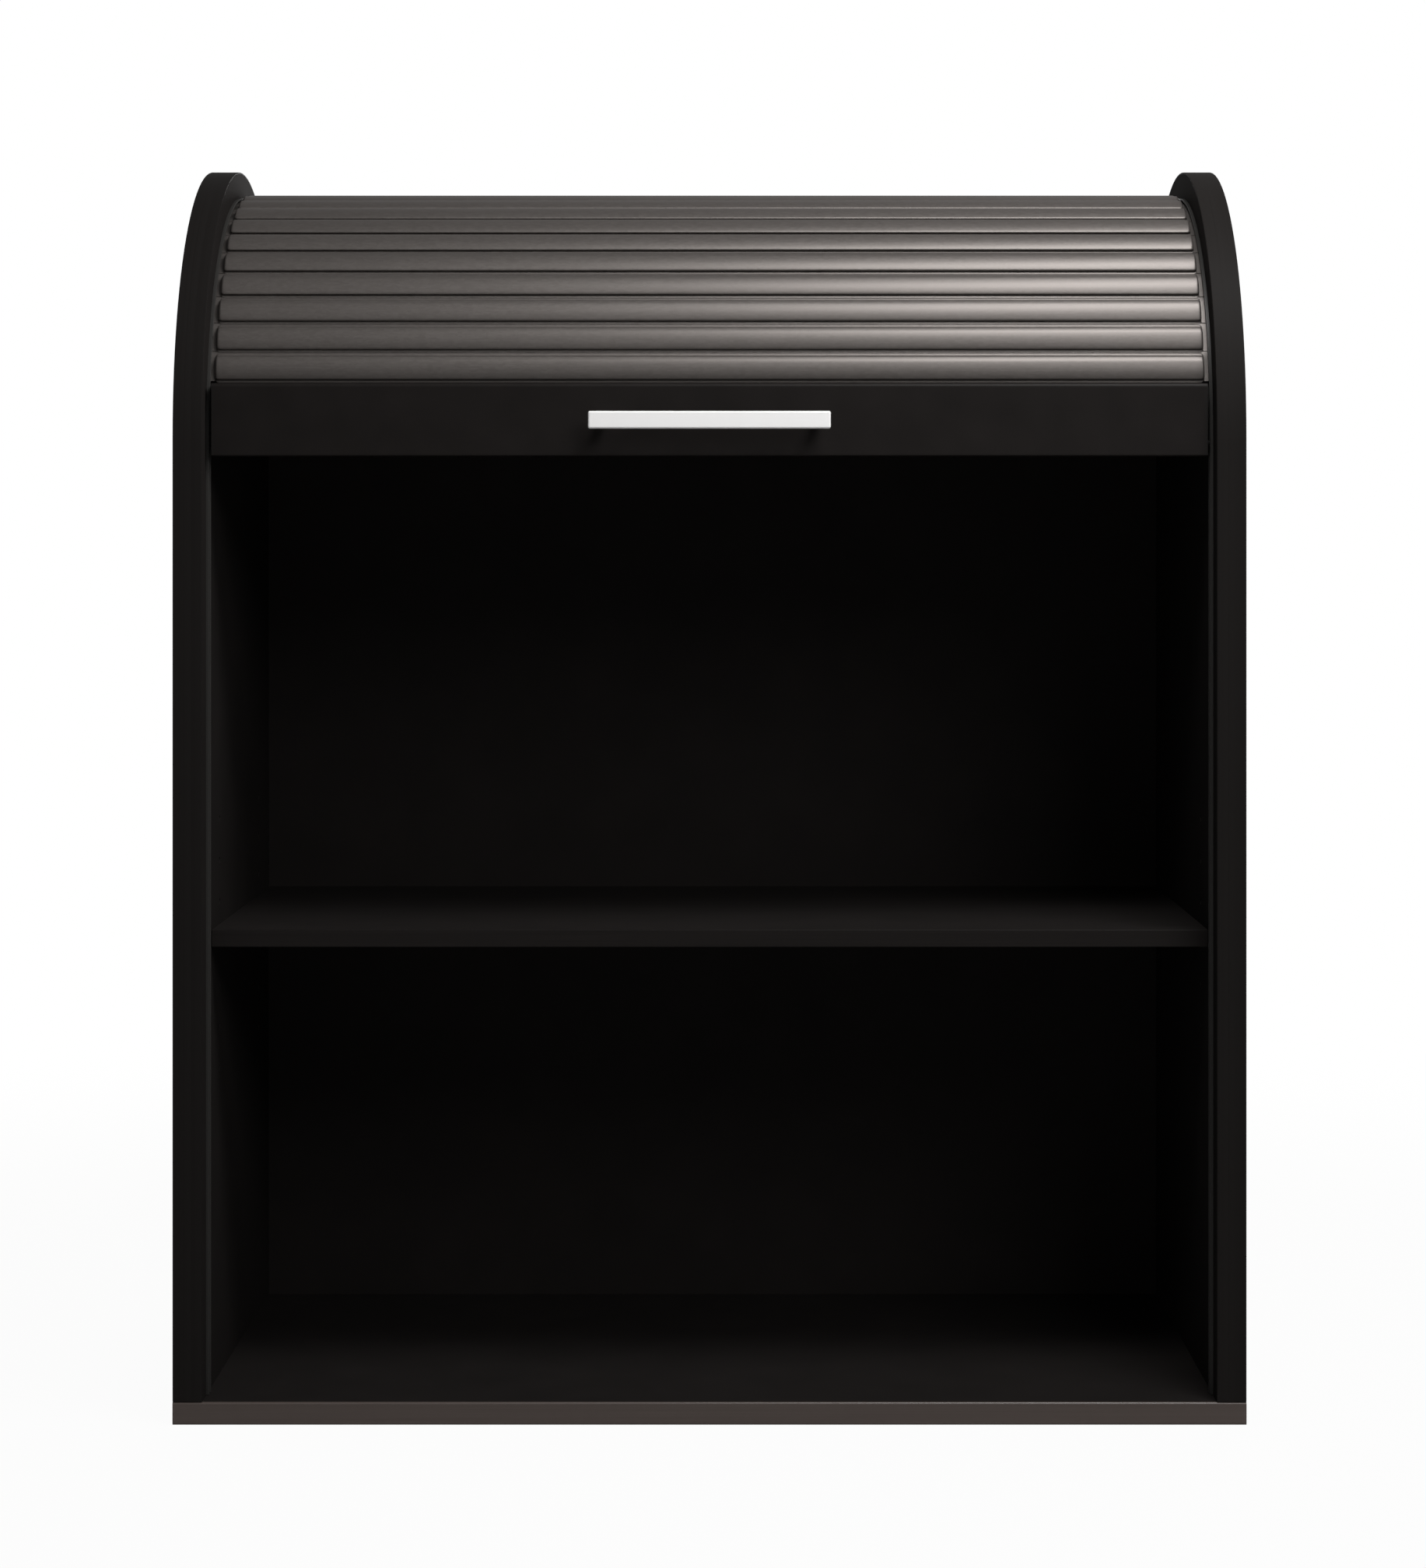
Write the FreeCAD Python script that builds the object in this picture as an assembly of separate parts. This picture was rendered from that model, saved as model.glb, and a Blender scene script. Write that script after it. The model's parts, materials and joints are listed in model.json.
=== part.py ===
import FreeCAD, Part
import math
import os

# Tambour cabinet, in millimetres. X runs to the right, Y from the front to the back and Z up.
# The origin is the middle of the base's underside.

# Carcass
cabinet_width = 800.0
cabinet_depth = 440.0
arch_centre_height = 735.0
side_thickness = 22.0
side_band_thickness = 1.5
base_thickness = 17.0
base_band_thickness = 2.0
base_band_rounding = 1.6

# Panels inside
curtain_room_behind = 30.7
false_back_thickness = 10.0
inner_top_drop = 10.0
inner_top_thickness = 16.0
inner_front_distance = 42.0
rear_panel_thickness = 6.0
rear_panel_inset = 7.0
rear_panel_rise = 15.0
rear_groove_depth = 7.5
rear_groove_base_depth = 5.8
panel_gap = 0.3

# Shelf and its pins
shelf_top_height = 364.2
shelf_thickness = 13.0
shelf_band_thickness = 2.0
shelf_end_gap = 1.0
pin_radius = 2.5
pin_in_panel = 9.5
pin_paddle_length = 12.0
pin_paddle_width = 13.0
pin_paddle_thickness = 2.0
pin_front_distance = 90.0
pin_from_false_back = 60.0
pin_row_spacing = 32.0
pin_rows_above = 3
pin_rows_below = 3

# Guide rail, a U channel that follows the front, the arch and the back
rail_centre_inset = 25.0
rail_channel_width = 5.6
rail_wall = 1.5
rail_floor = 1.5
rail_stand_out = 2.5
rail_channel_depth = 10.5

# Curtain of slats in pairs
slat_width = 23.8
curtain_end_room = 2.0
slats_in_pair = 2
tongue_thickness = 2.5
tongue_in_rail = 9.5
knuckle_clearance = 0.3
crown_end_gap = 3.0
crown_top_gap = 1.0
crown_crest_place = 13.7
crown_crest_rise = 5.75
crown_lower_radius = 22.4
crown_upper_radius = 36.0
crown_bead_width = 2.1
crown_bead_rise = 0.35
crown_bead_edge_drop = 0.4
crown_lip_height = 0.9
crown_lip_overhang = 0.4
crown_lip_bulge = 0.12
crown_end_rounding = 1.1
slat_hollow_margin = 4.5
slat_hollow_depth = 4.2
slat_hollow_end = 5.0

# Lath at the curtain's front end, and its handle
lath_front_inset = 13.0
lath_thickness = 19.0
lath_height = 55.0
lath_below_arch = 13.0
lath_end_gap = 2.5
lath_top_rounding = 3.0
lath_edge_rounding = 1.5
lath_bead_sink = 0.9
lath_wall = 2.0
lath_cap_flange = 2.0
lath_cap_plug = 16.0
lath_pin_radius = 2.5
lath_pin_height = 10.0
lath_pin_in_lath = 14.0
lath_pin_in_rail = 9.5
handle_length = 180.0
handle_height = 13.0
handle_bar_thickness = 8.0
handle_finger_room = 18.0
handle_centre_rise = 26.6
handle_post_radius = 4.0
handle_post_spacing = 160.0
handle_rounding = 1.4
handle_screw_radius = 2.0
handle_screw_head_radius = 3.9
handle_screw_head_thickness = 2.2
handle_screw_in_post = 9.0
handle_screw_clearance = 0.2

# Fastenings
fit_clearance = 0.15
hole_clearance = 0.05
overrun = 5.0
base_screw_radius = 3.5
base_screw_head_radius = 5.0
base_screw_head_thickness = 3.0
base_screw_recess = 0.6
base_screw_length = 50.0
base_screw_spacing = 150.0
cam_radius = 7.5
cam_thickness = 12.5
cam_centre_distance = 24.0
cam_slot_width = 1.6
cam_slot_depth = 2.5
cam_bolt_radius = 3.0
cam_bolt_in_side = 9.0
cam_front_distance = 100.0
cam_from_false_back = 60.0
dowel_radius = 3.0
dowel_in_side = 9.0
dowel_in_panel = 20.0
dowel_from_cam = 45.0
dowel_rows = 3
dowel_end_distance = 60.0

# Worked out from the sizes above
half_width = cabinet_width / 2
half_depth = cabinet_depth / 2
side_face = half_width - side_thickness
track_radius = half_depth - rail_centre_inset
arch_length = math.pi * track_radius
half_slat_angle = slat_width / track_radius / 2
slat_chord = 2 * track_radius * math.sin(half_slat_angle)
rail_half_width = rail_channel_width / 2 + rail_wall
rail_mouth = side_face - rail_stand_out
rail_channel_floor = rail_mouth + rail_channel_depth
rail_back = rail_channel_floor + rail_floor
half_tongue = tongue_thickness / 2
false_back_end = track_radius - rail_half_width - curtain_room_behind
false_back_front = false_back_end - false_back_thickness
inner_front = inner_front_distance - half_depth
inner_top_underside = arch_centre_height + inner_top_drop
cam_rows = (cam_front_distance - half_depth, false_back_end - cam_from_false_back)
shelf_underside = shelf_top_height - shelf_thickness
lath_front = lath_front_inset - half_depth
lath_back = lath_front + lath_thickness
lath_rest_height = arch_centre_height - lath_below_arch
lath_top = lath_rest_height + lath_height
lath_half_length = rail_mouth - lath_end_gap
handle_height_centre = lath_rest_height + handle_centre_rise

right = FreeCAD.Vector(1, 0, 0)
backward = FreeCAD.Vector(0, 1, 0)
upward = FreeCAD.Vector(0, 0, 1)
origin = FreeCAD.Vector(0, 0, 0)


def block(low_x, high_x, low_y, high_y, low_z, high_z):
    """A box between two corners."""
    corner = FreeCAD.Vector(low_x, low_y, low_z)
    return Part.makeBox(high_x - low_x, high_y - low_y, high_z - low_z, corner)


def rod(radius, start, direction, length):
    """A cylinder from a start point along a direction."""
    return Part.makeCylinder(radius, length, FreeCAD.Vector(*start), direction)


def mirrored(shape):
    """The same shape on the cabinet's other side."""
    return shape.mirror(origin, right)


def both_sides(shapes):
    """The shapes of the right side, and their mirror images on the left."""
    return list(shapes) + [mirrored(shape) for shape in shapes]


def section_edge(low_x, points):
    """An edge across the width's plane: a line through two points, or an arc through three."""
    placed = [FreeCAD.Vector(low_x, y, z) for y, z in points]
    if len(placed) == 2:
        return Part.LineSegment(*placed).toShape()
    return Part.Arc(*placed).toShape()


def extruded(low_x, high_x, runs):
    """A closed outline in the plane of depth and height, extruded along the width."""
    wire = Part.Wire([section_edge(low_x, points) for points in runs])
    return Part.Face(wire).extrude(FreeCAD.Vector(high_x - low_x, 0, 0))


def arch_half(radius, foot):
    """Lines and an arc up the front, over the top and down the back."""
    spring = arch_centre_height
    return [
        ((-radius, foot), (-radius, spring)),
        ((-radius, spring), (0, spring + radius), (radius, spring)),
        ((radius, spring), (radius, foot)),
    ]


def arch_panel(low_x, high_x, radius, foot):
    """A panel with a half-round top."""
    runs = arch_half(radius, foot) + [((radius, foot), (-radius, foot))]
    return extruded(low_x, high_x, runs)


def arch_strip(low_x, high_x, inner_radius, outer_radius, foot):
    """A strip that follows the arch, between two radii."""
    solid = arch_panel(low_x, high_x, outer_radius, foot)
    return solid.cut(arch_panel(low_x - overrun, high_x + overrun, inner_radius, foot - overrun))


def track_point(distance):
    """Depth and height of the track's centre line, from the front spring line over the arch."""
    if distance < 0:
        return -track_radius, arch_centre_height + distance
    if distance > arch_length:
        return track_radius, arch_centre_height - (distance - arch_length)
    turn = distance / track_radius
    return -track_radius * math.cos(turn), arch_centre_height + track_radius * math.sin(turn)


# The first slat hinges on the bead along the lath's top edge
first_hinge_height = lath_top + lath_bead_sink
first_hinge = track_radius * math.asin((first_hinge_height - arch_centre_height) / track_radius)
track_end = arch_length + arch_centre_height - base_thickness - curtain_end_room

# As many pairs as the track has room for
slat_pair_count = 0
while first_hinge + slats_in_pair * (slat_pair_count + 1) * slat_width < track_end:
    slat_pair_count += 1


# Base
def base_screw_places():
    """Depth of each base screw."""
    return (-base_screw_spacing, 0, base_screw_spacing)


def base_screw(place):
    """A flat-headed screw from below, through the base into the right side's end."""
    middle = half_width - side_thickness / 2
    head = rod(base_screw_head_radius, (middle, place, base_screw_recess), upward, base_screw_head_thickness)
    shank = rod(base_screw_radius, (middle, place, base_screw_recess), upward, base_screw_length)
    return head.fuse(shank)


def base_screw_hole(place):
    """The room that a base screw needs."""
    middle = half_width - side_thickness / 2
    head_room = base_screw_head_thickness + base_screw_recess + overrun
    recess = rod(base_screw_head_radius + fit_clearance, (middle, place, -overrun), upward, head_room + hole_clearance)
    length = base_screw_length + base_screw_recess + hole_clearance
    return recess.fuse(rod(base_screw_radius + hole_clearance, (middle, place, 0), upward, length))


def rear_panel_slot():
    """The groove around the rear panel, in the sides and the base."""
    back = half_depth - rear_panel_inset
    reach = side_face + rear_groove_depth + fit_clearance
    foot = base_thickness - rear_groove_base_depth - fit_clearance
    top = arch_centre_height + rear_panel_rise + fit_clearance
    front = back - rear_panel_thickness - fit_clearance
    return block(-reach, reach, front, back + fit_clearance, foot, top)


base_holes = both_sides([base_screw_hole(place) for place in base_screw_places()])
base_front = base_band_thickness - half_depth
base_panel = block(-half_width, half_width, base_front, half_depth, 0, base_thickness)
base_panel = base_panel.cut([rear_panel_slot()] + base_holes)
base_edge_band = block(-half_width, half_width, -half_depth, base_front, 0, base_thickness)
base_edges = [
    edge for edge in base_edge_band.Edges
    if edge.BoundBox.YMax < base_front - base_band_thickness / 2 and edge.BoundBox.XLength > half_width
]
base_edge_band = base_edge_band.makeFillet(base_band_rounding, base_edges)

# Sides, with their edge bands, rails and bored holes
rail_slot = arch_strip(
    side_face - overrun, rail_back + fit_clearance,
    track_radius - rail_half_width - fit_clearance,
    track_radius + rail_half_width + fit_clearance,
    base_thickness - overrun,
)
guide_rail = arch_strip(
    rail_mouth, rail_back,
    track_radius - rail_half_width, track_radius + rail_half_width,
    base_thickness + panel_gap,
)
guide_rail = guide_rail.cut(arch_strip(
    rail_mouth - overrun, rail_channel_floor,
    track_radius - rail_channel_width / 2, track_radius + rail_channel_width / 2,
    base_thickness - overrun,
))


def side_hole(radius, place, height, depth):
    """A blind hole in the right side's inner face."""
    start = (side_face - overrun, place, height)
    return rod(radius + hole_clearance, start, right, depth + overrun + panel_gap)


pin_height = shelf_underside - pin_radius
pin_places = (pin_front_distance - half_depth, false_back_front - pin_from_false_back)
pin_rows = range(-pin_rows_below, pin_rows_above + 1)
pin_holes = [
    side_hole(pin_radius, place, pin_height + row * pin_row_spacing, pin_in_panel)
    for place in pin_places for row in pin_rows
]
inner_top_middle = inner_top_underside + inner_top_thickness / 2
cam_bolt_holes = [side_hole(cam_bolt_radius, place, inner_top_middle, cam_bolt_in_side) for place in cam_rows]
top_dowel_rows = (cam_rows[0] + dowel_from_cam, cam_rows[1] - dowel_from_cam)
back_dowel_span = inner_top_underside - base_thickness - 2 * dowel_end_distance
back_dowel_heights = [
    base_thickness + dowel_end_distance + back_dowel_span * row / (dowel_rows - 1)
    for row in range(dowel_rows)
]
back_dowel_depth = false_back_front + false_back_thickness / 2
dowel_places = [(place, inner_top_middle) for place in top_dowel_rows]
dowel_places += [(back_dowel_depth, height) for height in back_dowel_heights]
dowel_holes = [side_hole(dowel_radius, place, height, dowel_in_side) for place, height in dowel_places]

side_radius = half_depth - side_band_thickness
side_panel = arch_panel(side_face, half_width, side_radius, base_thickness)
side_cuts = [rail_slot, rear_panel_slot()] + pin_holes + cam_bolt_holes + dowel_holes
side_cuts += [base_screw_hole(place) for place in base_screw_places()]
side_panel = side_panel.cut(side_cuts)
side_edge_band = arch_strip(side_face, half_width, side_radius, half_depth, base_thickness)


# Panels inside
def dowel(place, height):
    """A wooden dowel between a panel and the right side."""
    start = (side_face - dowel_in_panel, place, height)
    return rod(dowel_radius, start, right, dowel_in_panel + dowel_in_side)


def dowel_room(place, height):
    """The hole for a dowel in a panel's end."""
    start = (side_face - dowel_in_panel - panel_gap, place, height)
    return rod(dowel_radius + hole_clearance, start, right, dowel_in_panel + overrun)


def cam_room(place):
    """The round pocket of a cam lock and the bore of its bolt, in the inner top."""
    middle = side_face - cam_centre_distance
    depth = cam_thickness + fit_clearance + overrun
    pocket = rod(cam_radius + fit_clearance, (middle, place, inner_top_underside - overrun), upward, depth)
    bore = rod(
        cam_bolt_radius + fit_clearance, (middle, place, inner_top_middle), right, cam_centre_distance + overrun
    )
    return pocket.fuse(bore)


def cam_lock(place):
    """A round cam with a driver slot below."""
    middle = side_face - cam_centre_distance
    body = rod(cam_radius, (middle, place, inner_top_underside), upward, cam_thickness)
    half_slot = cam_slot_width / 2
    slot = block(
        middle - cam_radius, middle + cam_radius, place - half_slot, place + half_slot,
        inner_top_underside, inner_top_underside + cam_slot_depth,
    )
    return body.cut(slot)


def cam_bolt(place):
    """The bolt that a cam draws into the inner top."""
    start = side_face - cam_centre_distance + cam_radius + panel_gap
    return rod(
        cam_bolt_radius, (start, place, inner_top_middle), right, side_face + cam_bolt_in_side - start
    )


panel_end = side_face - panel_gap
false_back_panel = block(
    -panel_end, panel_end, false_back_front, false_back_end, base_thickness, inner_top_underside - panel_gap
)
false_back_panel = false_back_panel.cut(
    both_sides([dowel_room(back_dowel_depth, height) for height in back_dowel_heights])
)
inner_top_panel = block(
    -panel_end, panel_end, inner_front, false_back_end,
    inner_top_underside, inner_top_underside + inner_top_thickness,
)
inner_top_panel = inner_top_panel.cut(
    both_sides([cam_room(place) for place in cam_rows])
    + both_sides([dowel_room(place, inner_top_middle) for place in top_dowel_rows])
)
rear_back = half_depth - rear_panel_inset
rear_reach = side_face + rear_groove_depth
rear_panel = block(
    -rear_reach, rear_reach, rear_back - rear_panel_thickness, rear_back,
    base_thickness - rear_groove_base_depth, arch_centre_height + rear_panel_rise,
)

# Shelf
shelf_half_length = side_face - shelf_end_gap
shelf_back = false_back_front - panel_gap
shelf_front = inner_front + shelf_band_thickness
shelf = block(-shelf_half_length, shelf_half_length, shelf_front, shelf_back, shelf_underside, shelf_top_height)
shelf_edge_band = block(
    -shelf_half_length, shelf_half_length, inner_front, shelf_front, shelf_underside, shelf_top_height
)


def shelf_pin(place):
    """A shelf pin with a flat paddle under the shelf, on the right side."""
    paddle_start = side_face - pin_paddle_length
    shaft = rod(pin_radius, (paddle_start, place, pin_height), right, pin_paddle_length + pin_in_panel)
    half_paddle = pin_paddle_width / 2
    paddle = block(
        paddle_start, side_face - panel_gap, place - half_paddle, place + half_paddle,
        shelf_underside - pin_paddle_thickness, shelf_underside,
    )
    return shaft.fuse(paddle)


# Lath, its pins and the handle
def corner_arc(middle, radius, start_degrees):
    """A quarter turn about a point, anticlockwise with depth to the right."""
    quarter_shares = (0, 0.5, 1)
    turns = [math.radians(start_degrees) + share * math.pi / 2 for share in quarter_shares]
    return tuple(
        (middle[0] + radius * math.cos(turn), middle[1] + radius * math.sin(turn)) for turn in turns
    )


def lath_section(low_x, high_x, inset):
    """The lath's outline, drawn in by an inset, with a round top front edge and a small one below."""
    front = lath_front + inset
    back = lath_back - inset
    low = lath_rest_height + inset
    top = lath_top - inset
    round_top = lath_top_rounding - inset
    round_low = lath_edge_rounding
    top_arc = corner_arc((front + round_top, top - round_top), round_top, 90)
    low_arc = corner_arc((front + round_low, low + round_low), round_low, 180)
    return extruded(low_x, high_x, [
        ((back, low), (back, top)),
        ((back, top), top_arc[0]),
        top_arc,
        (top_arc[-1], low_arc[0]),
        low_arc,
        (low_arc[-1], (back, low)),
    ])


def lath_bar():
    """The hollow bar, with a bead along its top that the first slat turns on."""
    end = lath_half_length - lath_cap_flange
    bar = lath_section(-end, end, 0).cut(lath_section(-half_width, half_width, lath_wall))
    bead_depth, bead_height = track_point(first_hinge)
    bead = rod(half_tongue, (-end, bead_depth, bead_height), right, 2 * end)
    return bar.fuse(bead).cut(lath_section(-half_width, half_width, lath_wall)).removeSplitter()


def lath_end_cap():
    """The right end's cap: a flange over the bar's end and a plug inside it."""
    end = lath_half_length - lath_cap_flange
    plug = lath_section(end - lath_cap_plug, lath_half_length, lath_wall + fit_clearance)
    return lath_section(end, lath_half_length, 0).fuse(plug).removeSplitter()


lath_pin_start = lath_half_length - lath_pin_in_lath
lath_pin_place = (lath_pin_start, -track_radius, lath_rest_height + lath_pin_height)
lath_pin_length = rail_mouth + lath_pin_in_rail - lath_pin_start
lath_pin = rod(lath_pin_radius, lath_pin_place, right, lath_pin_length)
lath_pin_hole = rod(lath_pin_radius + hole_clearance, lath_pin_place, right, lath_pin_length)

post_front = lath_front - handle_finger_room
bar_front = post_front - handle_bar_thickness
post_places = (-handle_post_spacing / 2, handle_post_spacing / 2)
handle = block(
    -handle_length / 2, handle_length / 2, bar_front, post_front,
    handle_height_centre - handle_height / 2, handle_height_centre + handle_height / 2,
)
handle = handle.makeFillet(handle_rounding, handle.Edges)
for place in post_places:
    post_start = (place, post_front - handle_bar_thickness / 2, handle_height_centre)
    post_length = handle_finger_room + handle_bar_thickness / 2
    handle = handle.fuse(rod(handle_post_radius, post_start, backward, post_length))
screw_tip = lath_front - handle_screw_in_post
screw_length = lath_back - screw_tip
handle_screws = []
for place in post_places:
    tip = (place, screw_tip, handle_height_centre)
    hole_tip = (place, screw_tip - panel_gap, handle_height_centre)
    head = rod(
        handle_screw_head_radius, (place, lath_back, handle_height_centre), backward, handle_screw_head_thickness
    )
    handle_screws.append(rod(handle_screw_radius, tip, backward, screw_length).fuse(head))
    handle = handle.cut(rod(handle_screw_radius + hole_clearance, hole_tip, backward, screw_length))

handle_screw_holes = [
    rod(
        handle_screw_radius + handle_screw_clearance,
        (place, lath_front - overrun, handle_height_centre), backward, lath_thickness + 2 * overrun,
    )
    for place in post_places
]
lath = lath_bar().cut(handle_screw_holes)


# Curtain slats. A slat is drawn from its lower hinge line at depth 0 to its upper one
def slat_tongue():
    """The flat plate of a slat: hollow along its lower edge, round along its upper one."""
    reach = rail_mouth + tongue_in_rail
    hollow = half_tongue + knuckle_clearance
    lip = math.sqrt(hollow ** 2 - half_tongue ** 2)
    return extruded(-reach, reach, [
        ((lip, -half_tongue), (slat_chord, -half_tongue)),
        ((slat_chord, -half_tongue), (slat_chord + half_tongue, 0), (slat_chord, half_tongue)),
        ((slat_chord, half_tongue), (lip, half_tongue)),
        ((lip, half_tongue), (hollow, 0), (lip, -half_tongue)),
    ])


def crown_rise(place):
    """Height of the crown's dome over the tongue, steeper below its crest than above it."""
    radius = crown_lower_radius if place < crown_crest_place else crown_upper_radius
    run = place - crown_crest_place
    return crown_crest_rise - radius + math.sqrt(radius ** 2 - run ** 2)


def slat_crown(end, height_share):
    """The raised outer face between the rails: a narrow bead, a dome and a lip over the hinge below."""
    def face(place, rise):
        return place, half_tongue + rise * height_share

    high = slat_chord - crown_top_gap
    valley = high - crown_bead_width
    bead_top = crown_rise(valley) + crown_bead_rise
    bead_foot = face(high, bead_top - crown_bead_edge_drop - crown_bead_rise)
    upper_middle = (valley + crown_crest_place) / 2
    lower_middle = (crown_lip_height + crown_crest_place) / 2
    lip_start = face(crown_lip_height, crown_rise(crown_lip_height))
    hollow = half_tongue + knuckle_clearance
    lip_end = (-crown_lip_overhang, math.sqrt(hollow ** 2 - crown_lip_overhang ** 2))
    lip_angle = math.atan2(lip_end[1] - lip_start[1], lip_end[0] - lip_start[0])
    lip_middle = (
        (lip_start[0] + lip_end[0]) / 2 + crown_lip_bulge * math.sin(lip_angle),
        (lip_start[1] + lip_end[1]) / 2 - crown_lip_bulge * math.cos(lip_angle),
    )
    socket_end = (math.sqrt(hollow ** 2 - half_tongue ** 2), half_tongue)
    socket_turn = (math.atan2(lip_end[1], lip_end[0]) + math.atan2(socket_end[1], socket_end[0])) / 2
    socket_middle = (hollow * math.cos(socket_turn), hollow * math.sin(socket_turn))
    return extruded(-end, end, [
        ((high, 0), bead_foot),
        (bead_foot, face((valley + high) / 2, bead_top), face(valley, crown_rise(valley))),
        (
            face(valley, crown_rise(valley)), face(upper_middle, crown_rise(upper_middle)),
            face(crown_crest_place, crown_crest_rise),
        ),
        (
            face(crown_crest_place, crown_crest_rise), face(lower_middle, crown_rise(lower_middle)),
            lip_start,
        ),
        (lip_start, lip_middle, lip_end),
        (lip_end, socket_middle, socket_end),
        (socket_end, (crown_crest_place, 0)),
        ((crown_crest_place, 0), (high, 0)),
    ])


def slat():
    """One slat: its tongue and its crown, whose ends step down, hollowed from behind."""
    crown_end = rail_mouth - crown_end_gap
    full_height_share = 1.0
    low_height_share = 0.7
    inner_crown = slat_crown(crown_end - crown_end_rounding, full_height_share)
    outer_crown = slat_crown(crown_end, low_height_share)
    hollow_end = crown_end - slat_hollow_end
    hollow = block(
        -hollow_end, hollow_end, slat_hollow_margin, slat_chord - slat_hollow_margin,
        -half_tongue - overrun, slat_hollow_depth - half_tongue,
    )
    return slat_tongue().fuse([inner_crown, outer_crown]).cut(hollow).removeSplitter()


def slat_pair():
    """Two slats hinged at the origin, bent as they lie on the arch."""
    turn = math.degrees(half_slat_angle)
    upper = slat()
    lower = slat()
    lower.translate(FreeCAD.Vector(0, -slat_chord, 0))
    upper.rotate(origin, right, -turn)
    lower.rotate(origin, right, turn)
    return Part.makeCompound([lower, upper])


def pair_placement(middle_hinge):
    """Where a pair lies, its outer hinge lines on the track's centre line."""
    before = track_point(middle_hinge - slat_width)
    after = track_point(middle_hinge + slat_width)
    angle = math.atan2(after[1] - before[1], after[0] - before[0])
    rise = slat_chord * math.sin(half_slat_angle)
    depth = (before[0] + after[0]) / 2 - math.sin(angle) * rise
    height = (before[1] + after[1]) / 2 + math.cos(angle) * rise
    turn = FreeCAD.Rotation(right, math.degrees(angle))
    return FreeCAD.Placement(FreeCAD.Vector(0, depth, height), turn)


pair_shape = slat_pair()


def placed_pair(middle_hinge):
    """A pair of slats with its middle hinge line at a distance along the track."""
    pair = pair_shape.copy()
    pair.Placement = pair_placement(middle_hinge)
    return pair


def group(shapes):
    """Several separate solids in one node."""
    return Part.makeCompound(shapes)


nodes = {
    "base_panel": base_panel,
    "base_edge_band": base_edge_band,
    "base_screws": group(both_sides([base_screw(place) for place in base_screw_places()])),
    "side_panel_right": side_panel,
    "side_panel_left": mirrored(side_panel),
    "side_edge_band_right": side_edge_band,
    "side_edge_band_left": mirrored(side_edge_band),
    "guide_rail_right": guide_rail,
    "guide_rail_left": mirrored(guide_rail),
    "rear_panel": rear_panel,
    "false_back_panel": false_back_panel,
    "inner_top_panel": inner_top_panel,
    "cam_locks": group(both_sides([cam_lock(place) for place in cam_rows])),
    "cam_bolts": group(both_sides([cam_bolt(place) for place in cam_rows])),
    "wooden_dowels": group(both_sides([dowel(place, height) for place, height in dowel_places])),
    "shelf": shelf,
    "shelf_edge_band": shelf_edge_band,
    "shelf_pins": group(both_sides([shelf_pin(place) for place in pin_places])),
    "lath": lath,
    "lath_end_caps": group(both_sides([lath_end_cap().cut(lath_pin_hole)])),
    "lath_guide_pins": group(both_sides([lath_pin])),
    "handle": handle,
    "handle_screws": group(handle_screws),
}
for number in range(slat_pair_count):
    pair_middle = first_hinge + (slats_in_pair * number + 1) * slat_width
    nodes[f"slat_pair_{number + 1:02d}"] = placed_pair(pair_middle)

os.makedirs("parts", exist_ok=True)
for name, shape in nodes.items():
    shape.exportStep(f"parts/{name}.step")
    print(name, "solids", len(shape.Solids), "valid", shape.isValid())
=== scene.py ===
"""A tambour cabinet with its curtain of grey slats pushed up under the half-round top.

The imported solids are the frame. This file gives every board, band, rail and fitting its finish,
and builds the curtain's slats in full detail on the bodies that carry them.
"""
import json
import logging
import math
from dataclasses import dataclass
from enum import Enum
from typing import NamedTuple

import bmesh
import bpy
from mathutils import Matrix, Vector

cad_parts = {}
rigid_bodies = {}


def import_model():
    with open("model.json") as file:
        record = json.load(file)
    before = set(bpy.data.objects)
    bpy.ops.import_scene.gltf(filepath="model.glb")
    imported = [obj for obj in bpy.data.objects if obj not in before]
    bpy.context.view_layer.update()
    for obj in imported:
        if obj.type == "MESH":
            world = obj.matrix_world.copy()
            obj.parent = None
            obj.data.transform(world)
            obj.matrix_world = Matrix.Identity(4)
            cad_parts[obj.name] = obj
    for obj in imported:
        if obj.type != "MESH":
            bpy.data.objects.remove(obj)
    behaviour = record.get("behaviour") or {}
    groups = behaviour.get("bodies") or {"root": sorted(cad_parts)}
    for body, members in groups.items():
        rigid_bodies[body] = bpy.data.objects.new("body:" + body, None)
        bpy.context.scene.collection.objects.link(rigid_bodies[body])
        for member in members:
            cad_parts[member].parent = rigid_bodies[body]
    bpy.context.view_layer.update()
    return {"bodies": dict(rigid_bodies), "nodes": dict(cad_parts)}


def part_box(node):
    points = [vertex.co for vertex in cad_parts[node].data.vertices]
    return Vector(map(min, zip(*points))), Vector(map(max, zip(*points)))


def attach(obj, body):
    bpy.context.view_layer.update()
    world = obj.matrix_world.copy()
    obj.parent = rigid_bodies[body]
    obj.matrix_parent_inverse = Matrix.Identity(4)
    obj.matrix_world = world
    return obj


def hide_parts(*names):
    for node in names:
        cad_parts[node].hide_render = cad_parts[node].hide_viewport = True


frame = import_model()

MM = 0.001
JOIN_DISTANCE = 1e-6  # metres, in the pieces built here
WELD_DISTANCE = 0.01  # millimetres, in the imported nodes
EASED_DEGREES = 50
IMAGE_WIDTH = 1833
IMAGE_HEIGHT = 2016
WHITE = "#ffffff"
SOFT_LAYERS = 2.0

# The Mix node's inputs and outputs share their names, so they go by number.
NUMBER_A, NUMBER_B = 2, 3
COLOUR_A, COLOUR_B = 6, 7
COLOUR_RESULT = 2

log = logging.getLogger("tambour_cabinet")

Point = tuple[float, float]


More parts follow.
